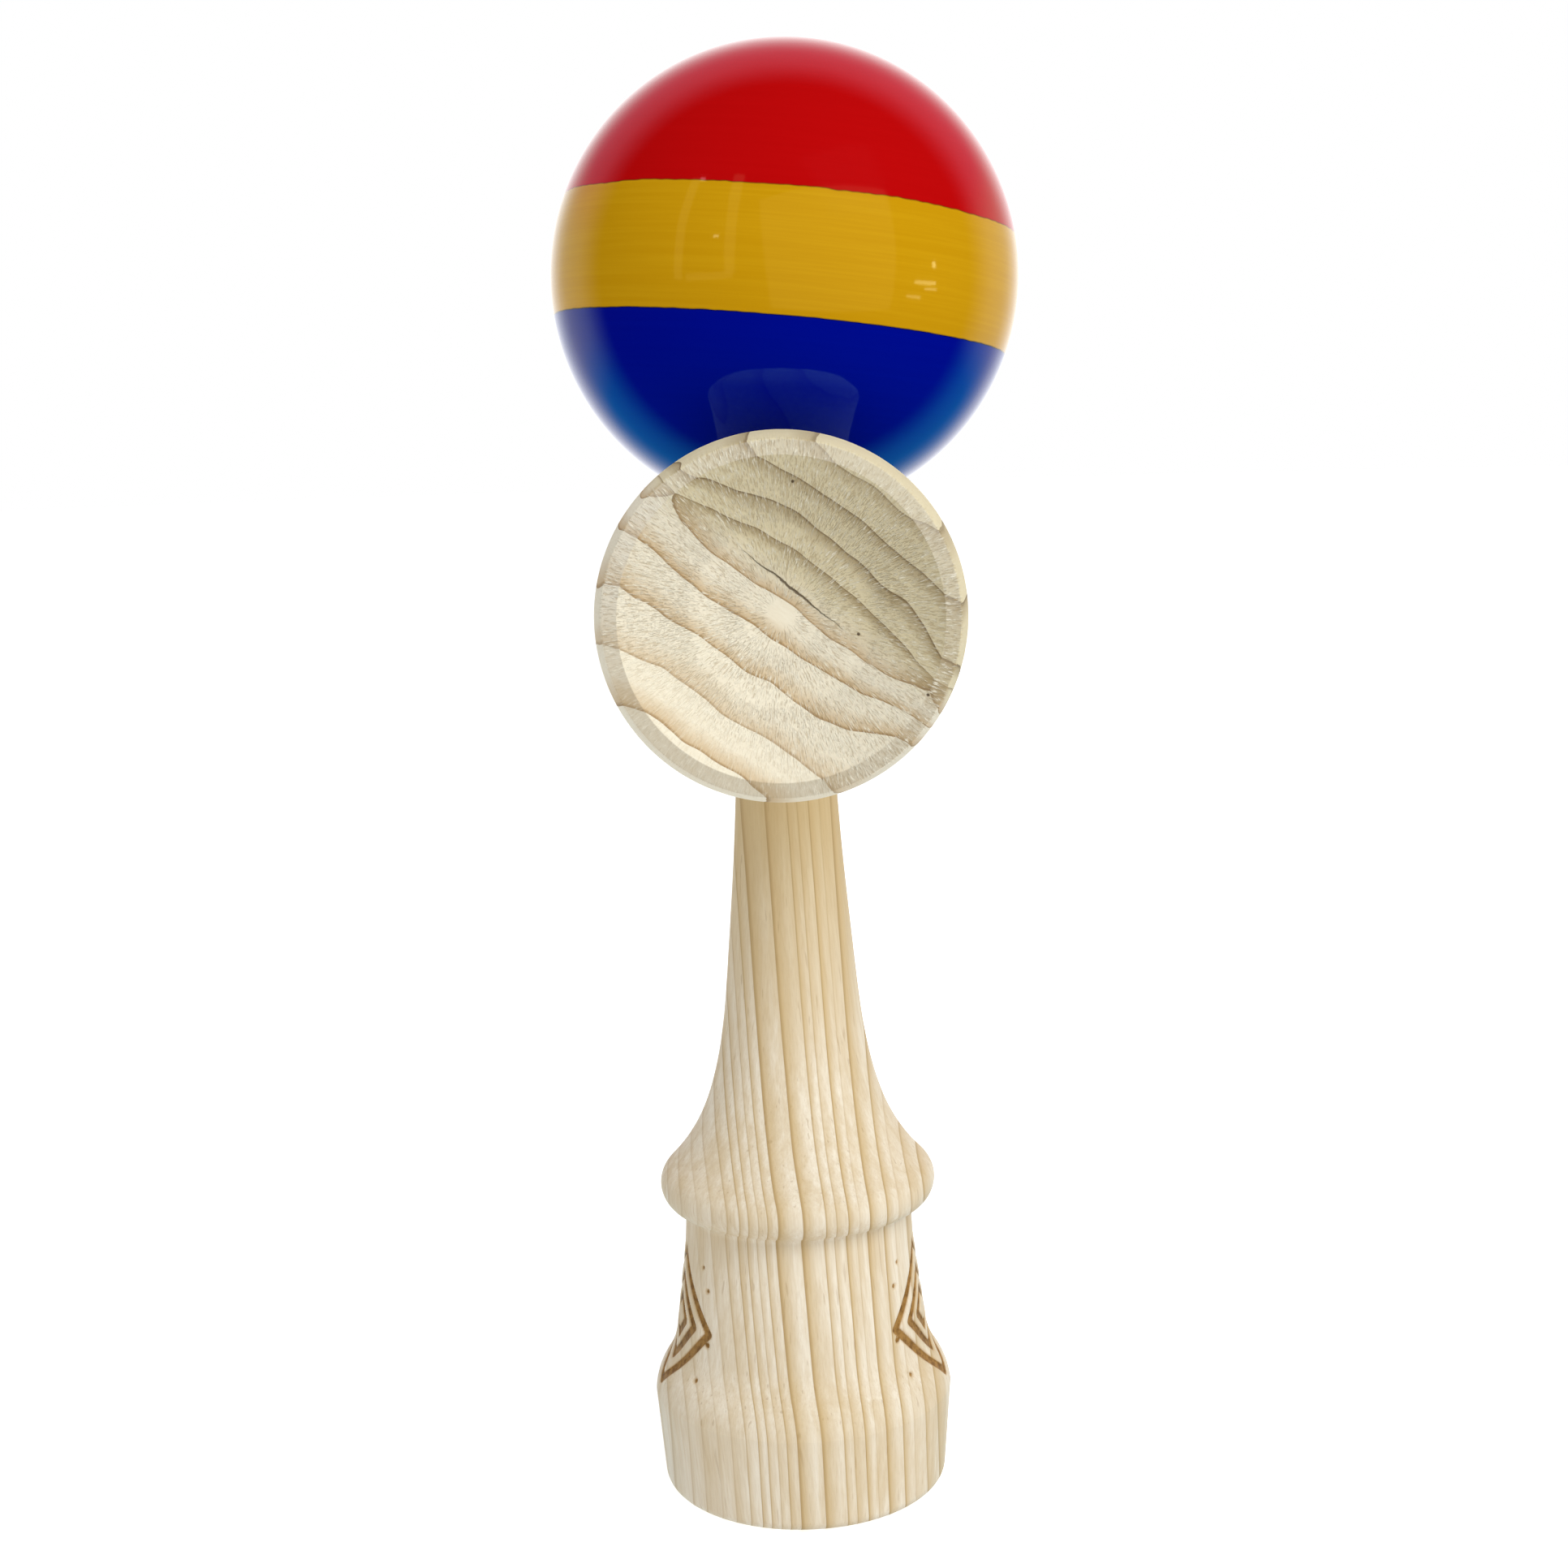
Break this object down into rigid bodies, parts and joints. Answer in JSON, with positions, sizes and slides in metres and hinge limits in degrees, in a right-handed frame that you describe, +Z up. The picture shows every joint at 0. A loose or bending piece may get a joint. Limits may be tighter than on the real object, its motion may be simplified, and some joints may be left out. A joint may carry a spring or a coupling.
{
  "type": "kendama",
  "caption": "Wooden cup-and-ball toy: a spiked handle, a double-cupped cross-piece and a glossy striped ball whose bore drops onto the spike.",
  "frame": {"origin": "centre of the handle's base rim, at the mouth of the base cup, which is the plane the toy stands on", "axes": "+Z up along the handle towards the spike; the big cup opens towards -Y, the small cup towards +Y, and the string hole of the cross-piece is on +X"},
  "size_m": [0.06, 0.069, 0.1908],
  "materials": {
    "handle_pine": "fine-sanded bare pine, grain along the handle",
    "cross_piece_pine": "sanded bare pine, end grain in the cups",
    "ball_wood": "bare drilled wood",
    "blue_lacquer": "high-gloss lacquer",
    "yellow_lacquer": "high-gloss lacquer",
    "red_lacquer": "high-gloss lacquer",
    "bead_wood": "turned and sanded"
  },
  "bodies": {
    "handle": {"handle": "handle_pine"},
    "cross_piece": {"cross_piece": "cross_piece_pine"},
    "bead": {"string_bead": "bead_wood"},
    "ball": {"ball_core": "ball_wood", "blue_lacquer": "blue_lacquer", "yellow_lacquer": "yellow_lacquer", "red_lacquer": "red_lacquer"}
  },
  "joints": [
    {"name": "cross_piece_lift", "type": "slide", "parent": "handle", "child": "cross_piece", "axis": [0, 0, 1], "range_m": [0, 0.062]},
    {"name": "ball_lift", "type": "slide", "parent": "cross_piece", "child": "bead", "axis": [0.1147, 0.061, 0.9915], "range_m": [0, 0.04]},
    {"name": "ball_spin", "type": "hinge", "parent": "bead", "child": "ball", "pos_m": [0.0017, 0.0006, 0.1608], "axis": [0.1147, 0.061, 0.9915], "continuous": true}
  ]
}
